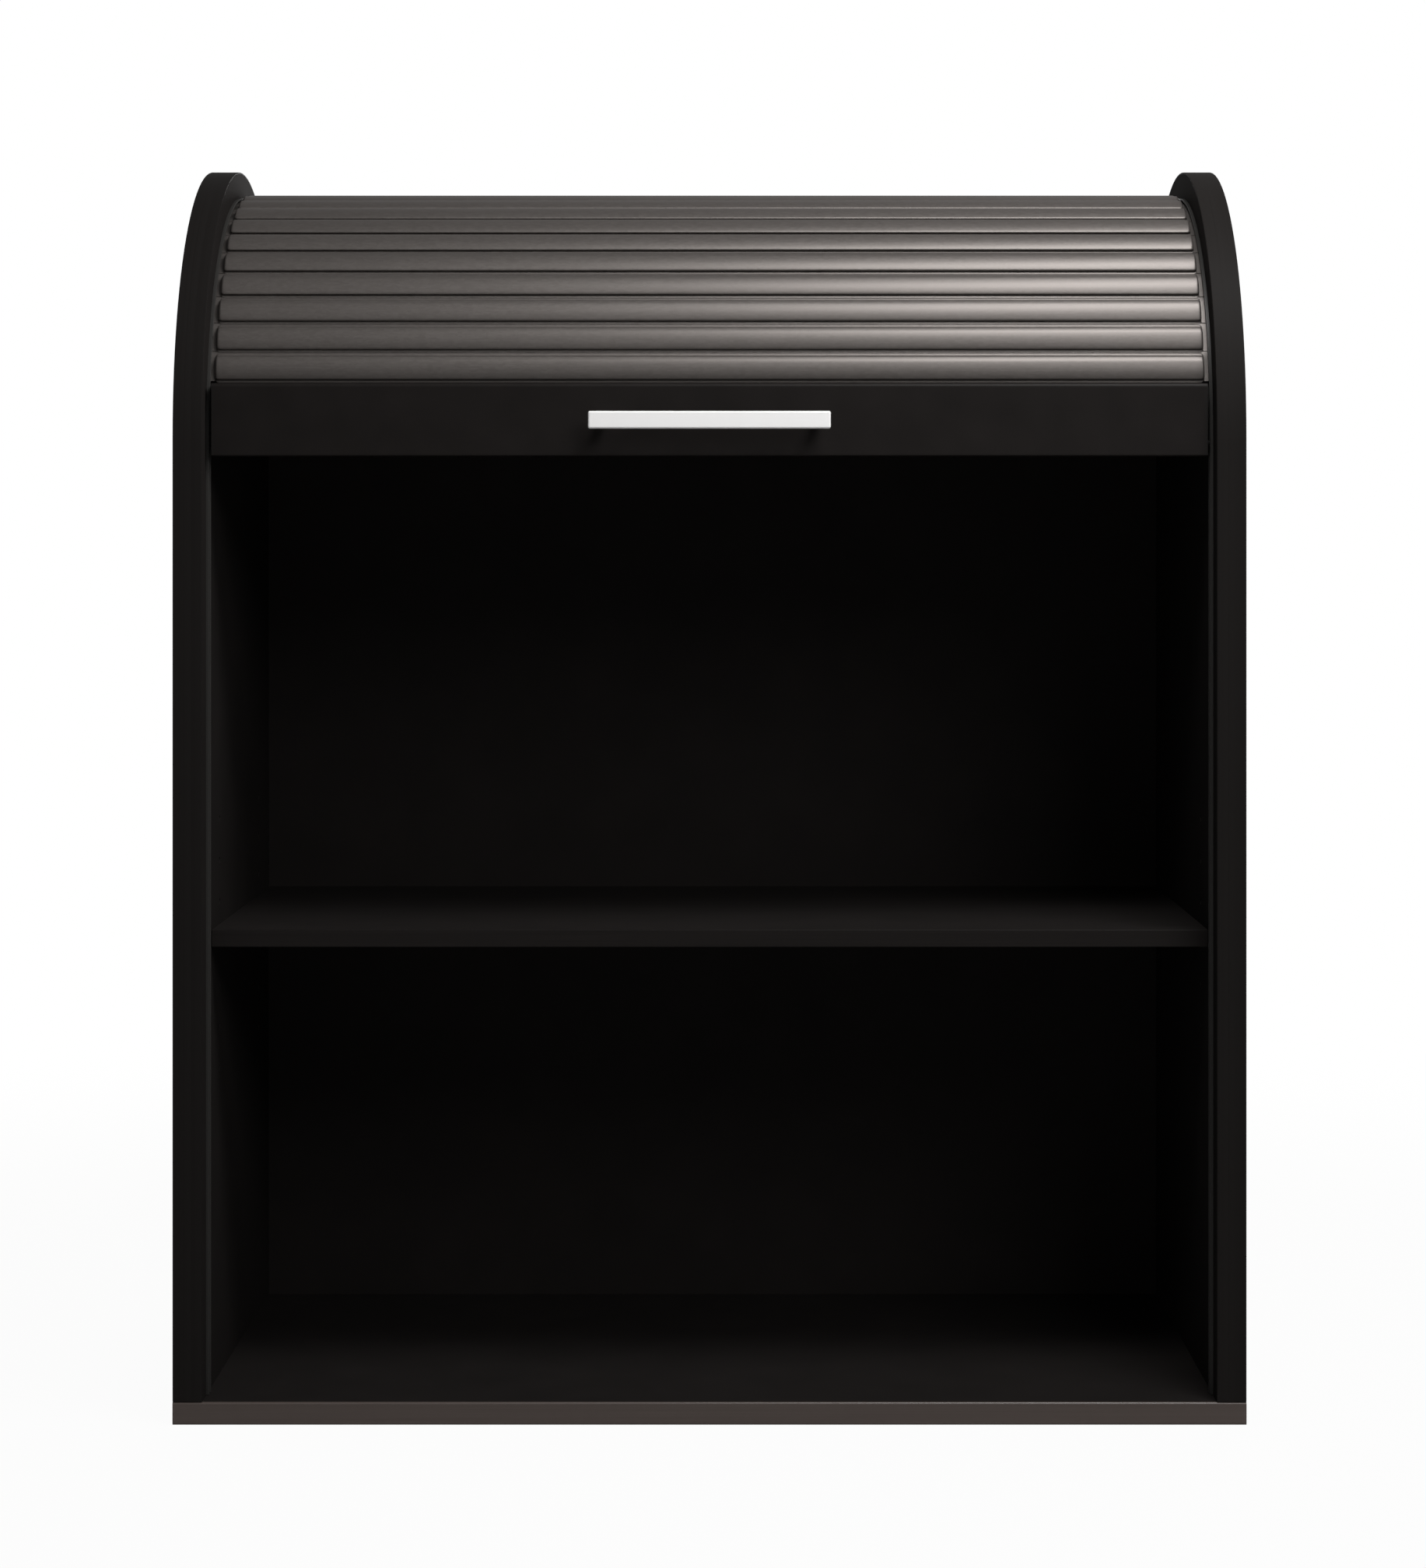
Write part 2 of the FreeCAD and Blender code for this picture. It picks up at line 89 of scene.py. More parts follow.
class Run(Enum):
    """The way that a profile was drawn through its die."""

    ALONG_WIDTH = "along_width"
    ALONG_TRACK = "along_track"


def linear(hex_colour: str) -> tuple[float, float, float, float]:
    """Turn an sRGB hex colour into linear light.

    Args:
        hex_colour: A colour such as "#8b8682".

    Returns:
        Red, green, blue and an alpha of one.
    """
    parts = [int(hex_colour[start:start + 2], 16) / 255 for start in (1, 3, 5)]
    light = [part / 12.92 if part <= 0.04045 else ((part + 0.055) / 1.055) ** 2.4 for part in parts]
    return light[0], light[1], light[2], 1.0


def add_node(
    tree: bpy.types.NodeTree, kind: str, settings: dict | None = None, links: dict | None = None
) -> bpy.types.Node:
    """Add one node with its settings and links.

    Args:
        tree: The node tree that gets the node.
        kind: Blender's name for the kind of node.
        settings: Values by the name of a property, or by the name or number of an input.
        links: Sockets to link from, by the name or number of the input.

    Returns:
        The new node.
    """
    node = tree.nodes.new(kind)
    for name, value in (settings or {}).items():
        if isinstance(name, str) and name not in node.inputs:
            setattr(node, name, value)
        else:
            node.inputs[name].default_value = value
    for name, socket in (links or {}).items():
        tree.links.new(socket, node.inputs[name])
    return node


class Pattern(NamedTuple):
    """What a finish draws on its surface."""

    tone: bpy.types.NodeSocket
    relief: bpy.types.NodeSocket
    depth: float


@dataclass(frozen=True)
class Finish:
    """A surface: what it is made of, and how it takes the light."""

    name: str
    slot: str
    colour: str
    other_colour: str
    roughness: float
    roughness_swing: float = 0.04
    metallic: float = 0.0
    ior: float = 1.5
    specular: float = 0.5

    def pattern(self, tree: bpy.types.NodeTree) -> Pattern:
        """Draw the tone and the relief of the surface.

        Args:
            tree: The material's node tree.

        Returns:
            The tone, the relief and the relief's depth in millimetres.
        """
        raise NotImplementedError

    def material(self) -> bpy.types.Material:
        """Make the material once, and return it each time.

        Returns:
            The finished material.
        """
        made = bpy.data.materials.get(self.name)
        if made is not None:
            return made
        made = bpy.data.materials.new(self.name)
        made.use_nodes = True
        tree = made.node_tree
        tree.nodes.clear()
        drawn = self.pattern(tree)
        colour = add_node(
            tree, "ShaderNodeMix",
            {"data_type": "RGBA", COLOUR_A: linear(self.colour), COLOUR_B: linear(self.other_colour)},
            {0: drawn.tone},
        )
        swing = self.roughness_swing
        roughness = add_node(
            tree, "ShaderNodeMapRange",
            {"To Min": self.roughness - swing, "To Max": self.roughness + swing}, {"Value": drawn.tone},
        )
        bump = add_node(
            tree, "ShaderNodeBump", {"Strength": 1.0, "Distance": drawn.depth * MM}, {"Height": drawn.relief}
        )
        shader = add_node(
            tree, "ShaderNodeBsdfPrincipled",
            {"Metallic": self.metallic, "IOR": self.ior, "Specular IOR Level": self.specular},
            {
                "Base Color": colour.outputs[COLOUR_RESULT], "Roughness": roughness.outputs[0],
                "Normal": bump.outputs[0],
            },
        )
        add_node(tree, "ShaderNodeOutputMaterial", links={"Surface": shader.outputs[0]})
        return made


def scaled_place(tree: bpy.types.NodeTree, spacing: tuple[float, float, float]) -> bpy.types.NodeSocket:
    """Give the place on the piece, in units of a spacing along each axis.

    Args:
        tree: The material's node tree.
        spacing: Millimetres for one unit of the pattern along width, depth and height.

    Returns:
        The scaled place.
    """
    place = add_node(tree, "ShaderNodeTexCoord").outputs["Object"]
    scale = tuple(1 / (length * MM) for length in spacing)
    return add_node(tree, "ShaderNodeMapping", {"Scale": scale}, {"Vector": place}).outputs[0]


def noise(
    tree: bpy.types.NodeTree, spacing: tuple[float, float, float], layers: float = SOFT_LAYERS
) -> bpy.types.NodeSocket:
    """Draw soft noise whose blots are about as large as a spacing.

    Args:
        tree: The material's node tree.
        spacing: Millimetres from blot to blot along width, depth and height.
        layers: How many finer layers are added.

    Returns:
        A value from 0 to 1.
    """
    place = scaled_place(tree, spacing)
    blots = add_node(tree, "ShaderNodeTexNoise", {"Scale": 1.0, "Detail": layers}, {"Vector": place})
    return blots.outputs[0]


@dataclass(frozen=True)
class PressedMelamine(Finish):
    """Melamine paper pressed on chipboard with a pearl plate: tiny soft pits that break up the sheen."""

    pit_spacing: float = 1.3
    cloud_spacing: float = 45.0
    pit_depth: float = 0.02

    def pattern(self, tree: bpy.types.NodeTree) -> Pattern:
        """Draw pits over slow clouds. The real pits are finer, and drawn this coarse to show.

        Args:
            tree: The material's node tree.

        Returns:
            Clouds as tone and pits as relief.
        """
        place = scaled_place(tree, (self.pit_spacing,) * 3)
        pits = add_node(
            tree, "ShaderNodeTexVoronoi", {"feature": "SMOOTH_F1", "Scale": 1.0}, {"Vector": place}
        )
        return Pattern(noise(tree, (self.cloud_spacing,) * 3), pits.outputs["Distance"], self.pit_depth)


@dataclass(frozen=True)
class ExtrudedPlastic(Finish):
    """Plastic drawn through a die: fine lines run its whole length and stretch each highlight."""

    run: Run = Run.ALONG_WIDTH
    line_spacing: float = 0.9
    line_length: float = 160.0
    line_depth: float = 0.012
    line_layers: float = 3.0
    arch_height: float = 735.0

    def pattern(self, tree: bpy.types.NodeTree) -> Pattern:
        """Draw lines along the run. The real ones are finer, and drawn this coarse to show.

        Args:
            tree: The material's node tree.

        Returns:
            The lines as tone and relief.
        """
        if self.run is Run.ALONG_WIDTH:
            spacing = (self.line_length, self.line_spacing, self.line_spacing)
            lines = noise(tree, spacing, self.line_layers)
            return Pattern(lines, lines, self.line_depth)
        place = add_node(
            tree, "ShaderNodeSeparateXYZ", links={0: add_node(tree, "ShaderNodeTexCoord").outputs["Object"]}
        )
        rise = add_node(
            tree, "ShaderNodeMath", {"operation": "SUBTRACT", 1: self.arch_height * MM},
            {0: place.outputs["Z"]},
        )
        above = add_node(tree, "ShaderNodeMath", {"operation": "MAXIMUM", 1: 0.0}, {0: rise.outputs[0]})
        around = add_node(
            tree, "ShaderNodeCombineXYZ", links={"Y": place.outputs["Y"], "Z": above.outputs[0]}
        )
        distance = add_node(tree, "ShaderNodeVectorMath", {"operation": "LENGTH"}, {0: around.outputs[0]})
        across = add_node(
            tree, "ShaderNodeCombineXYZ", links={"X": place.outputs["X"], "Y": distance.outputs["Value"]}
        )
        scale = 1 / (self.line_spacing * MM)
        lines = add_node(
            tree, "ShaderNodeTexNoise", {"Scale": scale, "Detail": SOFT_LAYERS},
            {"Vector": across.outputs[0]},
        ).outputs[0]
        return Pattern(lines, lines, self.line_depth)


@dataclass(frozen=True)
class FlakedPlastic(Finish):
    """Polypropylene with aluminium flake, extruded: a silky grey with faint lines along each slat."""

    flake_spacing: float = 1.1
    flake_stretch: float = 3.0
    line_spacing: float = 0.8
    line_length: float = 220.0
    line_depth: float = 0.01
    line_layers: float = 3.0

    def pattern(self, tree: bpy.types.NodeTree) -> Pattern:
        """Draw flakes for tone and die lines for relief. Real flakes are finer than they are drawn.

        Args:
            tree: The material's node tree.

        Returns:
            Flakes as tone and lines as relief.
        """
        flake_length = self.flake_spacing * self.flake_stretch
        place = scaled_place(tree, (flake_length, self.flake_spacing, self.flake_spacing))
        flakes = add_node(tree, "ShaderNodeTexVoronoi", {"Scale": 1.0}, {"Vector": place})
        shade = add_node(tree, "ShaderNodeSeparateColor", links={0: flakes.outputs["Color"]})
        lines = noise(tree, (self.line_length, self.line_spacing, self.line_spacing), self.line_layers)
        tone = add_node(tree, "ShaderNodeMath", {"operation": "MULTIPLY"}, {0: shade.outputs[0], 1: lines})
        return Pattern(tone.outputs[0], lines, self.line_depth)


@dataclass(frozen=True)
class PowderCoat(Finish):
    """Powder baked on metal: a faint orange peel that ripples the reflections."""

    peel_spacing: float = 2.2
    peel_depth: float = 0.02
    cloud_spacing: float = 30.0

    def pattern(self, tree: bpy.types.NodeTree) -> Pattern:
        """Draw the orange peel.

        Args:
            tree: The material's node tree.

        Returns:
            Clouds as tone and the peel as relief.
        """
        clouds = noise(tree, (self.cloud_spacing,) * 3)
        return Pattern(clouds, noise(tree, (self.peel_spacing,) * 3), self.peel_depth)


@dataclass(frozen=True)
class BrushedMetal(Finish):
    """Metal brushed along its length: fine scratches that spread each highlight across them."""

    scratch_spacing: float = 0.5
    scratch_length: float = 40.0
    scratch_depth: float = 0.006
    scratch_layers: float = 4.0

    def pattern(self, tree: bpy.types.NodeTree) -> Pattern:
        """Draw the scratches. The real grit is finer, and drawn this coarse to show.

        Args:
            tree: The material's node tree.

        Returns:
            The scratches as tone and relief.
        """
        spacing = (self.scratch_length, self.scratch_spacing, self.scratch_spacing)
        lines = noise(tree, spacing, self.scratch_layers)
        return Pattern(lines, lines, self.scratch_depth)


@dataclass(frozen=True)
class CastMetal(Finish):
    """Zinc, plated or die-cast: soft grey crystals, each a little lighter or darker than the next."""

    crystal_spacing: float = 2.5
    crystal_depth: float = 0.01

    def pattern(self, tree: bpy.types.NodeTree) -> Pattern:
        """Draw the crystals.

        Args:
            tree: The material's node tree.

        Returns:
            The crystals as tone and their edges as relief.
        """
        place = scaled_place(tree, (self.crystal_spacing,) * 3)
        cells = add_node(tree, "ShaderNodeTexVoronoi", {"Scale": 1.0}, {"Vector": place})
        shade = add_node(tree, "ShaderNodeSeparateColor", links={0: cells.outputs["Color"]})
        return Pattern(shade.outputs[0], cells.outputs["Distance"], self.crystal_depth)


@dataclass(frozen=True)
class MouldedNylon(Finish):
    """Nylon from a spark-eroded mould: an even, fine matt grain."""

    grain_spacing: float = 0.7
    grain_depth: float = 0.02

    def pattern(self, tree: bpy.types.NodeTree) -> Pattern:
        """Draw the grain.

        Args:
            tree: The material's node tree.

        Returns:
            The grain as tone and relief.
        """
        grain = noise(tree, (self.grain_spacing,) * 3)
        return Pattern(grain, grain, self.grain_depth)


@dataclass(frozen=True)
class TurnedBeech(Finish):
    """Beech dowel: straight pale grain with short darker flecks."""

    fleck_length: float = 6.0
    fleck_width: float = 0.6
    fleck_depth: float = 0.03
    grain_layers: float = 4.0

    def pattern(self, tree: bpy.types.NodeTree) -> Pattern:
        """Draw the grain along the dowel.

        Args:
            tree: The material's node tree.

        Returns:
            The flecks as tone and relief.
        """
        grain = noise(tree, (self.fleck_length, self.fleck_width, self.fleck_width), self.grain_layers)
        return Pattern(grain, grain, self.fleck_depth)


# Black melamine board: matt, with slow clouds that keep the large faces from looking flat.
BOARD = PressedMelamine("black_melamine", "board", "#201e1d", "#272423", 0.85, specular=0.05)
# Black ABS on the sides' edges: lines follow the arch and draw its highlight out.
SIDE_BAND = ExtrudedPlastic(
    "black_abs_band", "side_band", "#1a1817", "#22201f", 0.55, specular=0.04, run=Run.ALONG_TRACK
)
# Black ABS on the shelf's edge: a trace more sheen than the boards.
SHELF_BAND = ExtrudedPlastic("black_abs_shelf_band", "side_band", "#1b1918", "#242120", 0.42, specular=0.08)
# Grey-brown ABS on the base's edge: the one pale line at the foot, bright along its top.
BASE_BAND = ExtrudedPlastic("grey_brown_abs_band", "base_band", "#4f4541", "#5d534e", 0.34, specular=0.7)
# Dark grey PVC: smooth lips that show as one thin light line beside each opening.
RAIL = ExtrudedPlastic(
    "dark_grey_pvc", "rail", "#2c2b2a", "#3a3937", 0.38, specular=0.3, run=Run.ALONG_TRACK, line_spacing=0.5
)
# Grey polypropylene with flake: each dome glows where it faces the light and dies away below.
SLAT = FlakedPlastic("flaked_grey_polypropylene", "slat", "#605b58", "#6b6663", 0.46, metallic=0.6)
# Black powder coat: a soft, even black against the shining slats above.
LATH = PowderCoat("black_powder_coat", "lath", "#191716", "#201d1c", 0.42, specular=0.08)
# Black nylon: quite dull, so that the gaps at the lath's ends stay dark.
CAP = MouldedNylon("black_moulded_nylon", "cap", "#161413", "#1e1c1b", 0.5, specular=0.1)
# Satin anodised aluminium: nearly white, the brightest thing on the front.
HANDLE = BrushedMetal("satin_anodised_aluminium", "handle", "#fdfbf9", "#ffffff", 0.5, metallic=0.1)
# Zinc plated steel: bright, a little blue, for screws and pins.
STEEL = CastMetal("zinc_plated_steel", "steel", "#a9aaac", "#c4c5c7", 0.32, metallic=1.0)
# Die-cast zinc: duller and greyer than the plated steel.
CAM = CastMetal("die_cast_zinc", "cam", "#8d8d8c", "#a9a9a8", 0.45, metallic=1.0, crystal_spacing=1.2)
# Beech: pale and warm, seen only where a joint is opened.
BEECH = TurnedBeech("turned_beech", "beech", "#c99a66", "#dfb988", 0.6)


def dress(node: str, finish: Finish) -> bpy.types.Object:
    """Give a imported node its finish.

    Args:
        node: The node's name.
        finish: The finish that it gets.

    Returns:
        The node's object.
    """
    piece = frame["nodes"][node]
    if not piece.material_slots:
        piece.data.materials.append(None)
    for place in piece.material_slots:
        place.link = "OBJECT"
        place.material = finish.material()
    log.info("%s gets %s", node, finish.name)
    return piece


def ease_edges(piece: bpy.types.Object, width: float, steps: int = 3) -> None:
    """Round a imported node's sharp edges a little, with modifiers only.

    Args:
        piece: The node's object.
        width: The rounding in millimetres.
        steps: How many faces go round each edge.
    """
    joined = piece.modifiers.new("joined_corners", "WELD")
    joined.merge_threshold = WELD_DISTANCE * MM
    eased = piece.modifiers.new("eased_edges", "BEVEL")
    eased.width = width * MM
    eased.segments = steps
    eased.limit_method = "ANGLE"
    eased.angle_limit = math.radians(EASED_DEGREES)
    eased.use_clamp_overlap = True
    even = piece.modifiers.new("even_normals", "WEIGHTED_NORMAL")
    even.keep_sharp = True


def skin(
    name: str, points: list[Vector], faces: list[tuple[int, ...]], sharp_degrees: float
) -> bpy.types.Object:
    """Make a smooth piece from points and faces.

    Args:
        name: The piece's name.
        points: The corners, in metres.
        faces: The faces, as places in the list of points.
        sharp_degrees: Edges that turn more than this stay sharp.

    Returns:
        The new piece, linked to the scene.
    """
    mesh = bpy.data.meshes.new(name)
    shape = bmesh.new()
    corners = [shape.verts.new(point) for point in points]
    for face in faces:
        shape.faces.new([corners[place] for place in face])
    bmesh.ops.remove_doubles(shape, verts=shape.verts, dist=JOIN_DISTANCE)
    bmesh.ops.dissolve_degenerate(shape, edges=shape.edges, dist=JOIN_DISTANCE)
    bmesh.ops.recalc_face_normals(shape, faces=shape.faces)
    shape.to_mesh(mesh)
    shape.free()
    mesh.polygons.foreach_set("use_smooth", [True] * len(mesh.polygons))
    mesh.set_sharp_from_angle(angle=math.radians(sharp_degrees))
    piece = bpy.data.objects.new(name, mesh)
    bpy.context.scene.collection.objects.link(piece)
    return piece


@dataclass
class Carcass:
    """The boards, their edge bands and what joins them."""

    band_rounding: float = 0.6
    shelf_rounding: float = 0.5

    def dress(self) -> None:
        """Give each board, band and fitting its finish."""
        for node in ("base_panel", "side_panel_right", "side_panel_left", "rear_panel",
                     "false_back_panel", "inner_top_panel", "shelf"):
            dress(node, BOARD)
        for node in ("side_edge_band_right", "side_edge_band_left"):
            ease_edges(dress(node, SIDE_BAND), self.band_rounding)
        ease_edges(dress("shelf_edge_band", SHELF_BAND), self.shelf_rounding)
        dress("base_edge_band", BASE_BAND)
        for node in ("base_screws", "cam_bolts", "shelf_pins"):
            dress(node, STEEL)
        dress("cam_locks", CAM)
        dress("wooden_dowels", BEECH)


@dataclass
class GuideRails:
    """The two channels that the curtain runs in."""

    lip_rounding: float = 0.4

    def dress(self) -> None:
        """Give the rails their finish and ease their lips."""
        for node in ("guide_rail_right", "guide_rail_left"):
            ease_edges(dress(node, RAIL), self.lip_rounding)


@dataclass
class Lath:
    """The bar at the curtain's lower end, with its caps, pins and handle."""

    def dress(self) -> None:
        """Give the bar, its fittings and the handle their finishes."""
        dress("lath", LATH)
        dress("lath_end_caps", CAP)
        dress("lath_guide_pins", CAP)
        dress("handle", HANDLE)
        dress("handle_screws", STEEL)


@dataclass
class Curtain:
    """The slats, two to a body, in millimetres. A slat runs from its lower hinge line to its upper one."""

    pitch: float = 23.8
    slats_in_pair: int = 2
    rail_half_width: float = 4.3
    hinge_above_lath: float = 0.9
    tongue_thickness: float = 2.5
    tongue_reach: float = 385.0
    knuckle_clearance: float = 0.3
    crown_end: float = 372.5
    top_gap: float = 1.6
    crest_place: float = 13.7
    crest_rise: float = 5.75
    lower_radius: float = 28.5
    upper_radius: float = 11.2
    dome_top: float = 19.0
    bead_width: float = 2.0
    bead_wall: float = 2.0
    bead_bulge: float = 0.25
    valley_height: float = 2.6
    nose_place: float = 2.4
    nose_bulge: float = 1.25
    foot_place: float = 2.3
    flat_foot_place: float = 0.5
    foot_height: float = 0.9
    lip_overhang: float = 0.4
    lip_bulge: float = 0.02
    hollow_margin: float = 4.5
    hollow_depth: float = 4.2
    hollow_end: float = 5.0
    end_corner: float = 3.0
    end_rounding: float = 1.6
    end_wall_share: float = 0.55
    edge_steps: int = 6
    dome_steps: int = 8
    bead_steps: int = 7
    nose_steps: int = 9
    lip_steps: int = 3
    end_steps: int = 6
    sharp_degrees: float = 42.0

    def __post_init__(self) -> None:
        """Read the track's radius, its centre and the first hinge line from the frame."""
        low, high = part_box("guide_rail_right")
        outer_radius = high.y / MM
        self.radius = outer_radius - self.rail_half_width
        self.centre_height = high.z / MM - outer_radius
        self.half_turn = self.pitch / self.radius / 2
        self.chord = 2 * self.radius * math.sin(self.half_turn)
        lath_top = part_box("lath_end_caps")[1].z / MM
        sine = (lath_top + self.hinge_above_lath - self.centre_height) / self.radius
        self.first_hinge = self.radius * math.asin(sine)

    def track_point(self, distance: float) -> Point:
        """Give the track's depth and height at a distance from the front spring line.

        Args:
            distance: Millimetres along the track.

        Returns:
            Depth and height in millimetres.
        """
        turn = distance / self.radius
        if turn > math.pi:
            return self.radius, self.centre_height - (distance - math.pi * self.radius)
        return -self.radius * math.cos(turn), self.centre_height + self.radius * math.sin(turn)

    def dome(self, place: float) -> float:
        """Give the dome's height over the tongue, rounder above its crest than below it.

        Args:
            place: Millimetres from the lower hinge line.

        Returns:
            The height in millimetres.
        """
        radius = self.lower_radius if place < self.crest_place else self.upper_radius
        return self.crest_rise - radius + math.sqrt(radius ** 2 - (place - self.crest_place) ** 2)

    def bow(self, start: Point, end: Point, bulge: float, steps: int) -> list[Point]:
        """Give points on a shallow bow from one point to another, both left out.

        Args:
            start: The first point.
            end: The last point.
            bulge: How far the bow stands out to the right of the way from start to end.
            steps: How many stretches it is made of.

        Returns:
            The points between.
        """
        along, out = end[0] - start[0], end[1] - start[1]
        length = math.hypot(along, out)
        points = []
        for step in range(1, steps):
            share = step / steps
            lift = 4 * bulge * share * (1 - share)
            place = start[0] + along * share + lift * out / length
            height = start[1] + out * share - lift * along / length
            points.append((place, height))
        return points

    def crown(self, height_share: float, inset: float) -> list[Point]:
        """Give the outer face: a bead, a dome, and a rounded nose that overhangs the groove at the hinge.

        Args:
            height_share: The crown's height as a share of the full one.
            inset: How far both edges are drawn in, in millimetres.

        Returns:
            Points of place along the slat and height over its middle.
        """
        low, high = -self.lip_overhang, self.chord - self.top_gap
        bead_end, valley = (high, self.bead_wall), (high - self.bead_width, self.valley_height)
        bead = self.bow(bead_end, valley, self.bead_bulge, self.bead_steps)
        outline = [(high, 0.0), bead_end, *bead, valley]
        outline.append((self.dome_top, self.dome(self.dome_top)))
        for start, end in ((self.dome_top, self.crest_place), (self.crest_place, self.nose_place)):
            for step in range(1, self.dome_steps + 1):
                place = start + (end - start) * step / self.dome_steps
                outline.append((place, self.dome(place)))
        foot, bulge = (self.foot_place, self.foot_height), self.nose_bulge
        if height_share == 0:
            foot, bulge = (self.flat_foot_place, self.foot_height), 0.0
        outline += [*self.bow(outline[-1], foot, bulge, self.nose_steps), foot]
        half = self.tongue_thickness / 2
        hollow = half + self.knuckle_clearance
        lip_end = (low, math.sqrt(hollow ** 2 - low ** 2) - half)
        outline += [*self.bow(foot, lip_end, -self.lip_bulge, self.lip_steps), lip_end]
        squeeze = 1 - 2 * inset / (high - low)
        return [
            (low + inset + (place - low) * squeeze, half + rise * height_share) for place, rise in outline
        ]

    def outline(self, height_share: float, inset: float, hollow_share: float) -> list[Point]:
        """Give a slat's whole outline at one place along its length.

        Args:
            height_share: The crown's height as a share of the full one.
            inset: How far the crown's edges are drawn in.
            hollow_share: The hollow's depth from behind, as a share of the full one.

        Returns:
            A closed loop of points.
        """
        half = self.tongue_thickness / 2
        circle = half + self.knuckle_clearance
        low_turn = -math.asin(half / circle)
        crown_turn = math.acos(-self.lip_overhang / circle)
        high_turn = crown_turn if height_share > 0 and inset == 0 else -low_turn
        steps = range(self.edge_steps + 1)
        knuckle = [
            (self.chord + half * math.sin(turn), -half * math.cos(turn))
            for turn in [math.pi * step / self.edge_steps for step in steps]
        ]
        socket = [
            (circle * math.cos(turn), circle * math.sin(turn))
            for turn in [high_turn + (low_turn - high_turn) * step / self.edge_steps for step in steps]
        ]
        depth = self.hollow_depth * hollow_share - half
        near, far = self.hollow_margin, self.chord - self.hollow_margin
        back = [(near, -half), (near, depth), (far, depth), (far, -half)]
        return knuckle + self.crown(height_share, inset) + socket + back

    def stations(self) -> list[tuple[float, float, float, float]]:
        """Give each outline of the right half: its place, the crown's share and inset, the hollow's share.

        Returns:
            Places from the middle outwards.
        """
        hollow_stop = self.crown_end - self.hollow_end
        places = [(hollow_stop, 1.0, 0.0, 1.0), (hollow_stop, 1.0, 0.0, 0.0)]
        for step in range(self.end_steps + 1):
            turn = math.pi / 2 * step / self.end_steps
            back = self.end_corner * (1 - math.sin(turn))
            inset = self.end_corner * (1 - math.cos(turn))
            rounded = min(1.0, back / self.end_rounding)
            share = self.end_wall_share + (1 - self.end_wall_share) * math.sqrt(1 - (1 - rounded) ** 2)
            places.append((self.crown_end - back, share, inset, 0.0))
        places.append((self.crown_end, 0.0, self.end_corner, 0.0))
        places.append((self.tongue_reach, 0.0, self.end_corner, 0.0))
        return places

    def slat(self, placement: Matrix) -> tuple[list[Vector], list[tuple[int, ...]]]:
        """Build one slat as one closed skin.

        Args:
            placement: Where the slat lies, in millimetres.

        Returns:
            Its points in metres, and its faces.
        """
        half = self.stations()
        sections = [(-station[0],) + station[1:] for station in reversed(half)] + half
        points = []
        for place, share, inset, hollow_share in sections:
            loop = self.outline(share, inset, hollow_share)
            points += [placement @ Vector((place, along, out)) * MM for along, out in loop]
        count = len(points) // len(sections)
        faces = []
        for section in range(len(sections) - 1):
            start = section * count
            for step in range(count):
                following = (step + 1) % count
                faces.append((
                    start + step, start + following, start + count + following, start + count + step,
                ))
        last = (len(sections) - 1) * count
        faces.append(tuple(reversed(range(count))))
        faces.append(tuple(range(last, last + count)))
        return points, faces

    def placement(self, middle_hinge: float) -> Matrix:
        """Give the place of a pair, its outer hinge lines on the track's centre line.

        Args:
            middle_hinge: The middle hinge line's distance along the track.

        Returns:
            A turn and a move, in millimetres.
        """
        before = self.track_point(middle_hinge - self.pitch)
        after = self.track_point(middle_hinge + self.pitch)
        angle = math.atan2(after[1] - before[1], after[0] - before[0])
        rise = self.chord * math.sin(self.half_turn)
        depth = (before[0] + after[0]) / 2 - math.sin(angle) * rise
        height = (before[1] + after[1]) / 2 + math.cos(angle) * rise
        return Matrix.Translation((0, depth, height)) @ Matrix.Rotation(angle, 4, "X")

    def build(self) -> None:
        """Build every pair of slats on its body, in place of its plain solid."""
        pairs = sorted(body for body in frame["bodies"] if body.startswith("slat_pair_"))
        for number, body in enumerate(pairs):
            middle = self.first_hinge + (self.slats_in_pair * number + 1) * self.pitch
            pair = self.placement(middle)
            upper = pair @ Matrix.Rotation(-self.half_turn, 4, "X")
            lower = pair @ Matrix.Rotation(self.half_turn, 4, "X") @ Matrix.Translation((0, -self.chord, 0))
            points, faces = [], []
            for placement in (lower, upper):
                more_points, more_faces = self.slat(placement)
                start = len(points)
                points += more_points
                faces += [tuple(start + corner for corner in face) for face in more_faces]
            piece = skin(f"slats_{number + 1:02d}", points, faces, self.sharp_degrees)
            piece.data.materials.append(SLAT.material())
            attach(piece, body)
            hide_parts(body)
        log.info("curtain of %d pairs of slats", len(pairs))


@dataclass
class Lamp:
    """A soft lamp, in metres and watts."""

    name: str
    place: tuple[float, float, float]
    aim: tuple[float, float, float]
    width: float
    height: float
    power: float

    def build(self) -> None:
        """Hang the lamp and turn it to what it lights."""
        light = bpy.data.lights.new(self.name, "AREA")
        light.shape = "RECTANGLE"
        light.size = self.width
        light.size_y = self.height
        light.energy = self.power
        lamp = bpy.data.objects.new(self.name, light)
        lamp.location = self.place
        lamp.rotation_euler = (Vector(self.aim) - Vector(self.place)).to_track_quat("-Z", "Y").to_euler()
        bpy.context.scene.collection.objects.link(lamp)
        log.info("%s lamp", self.name)


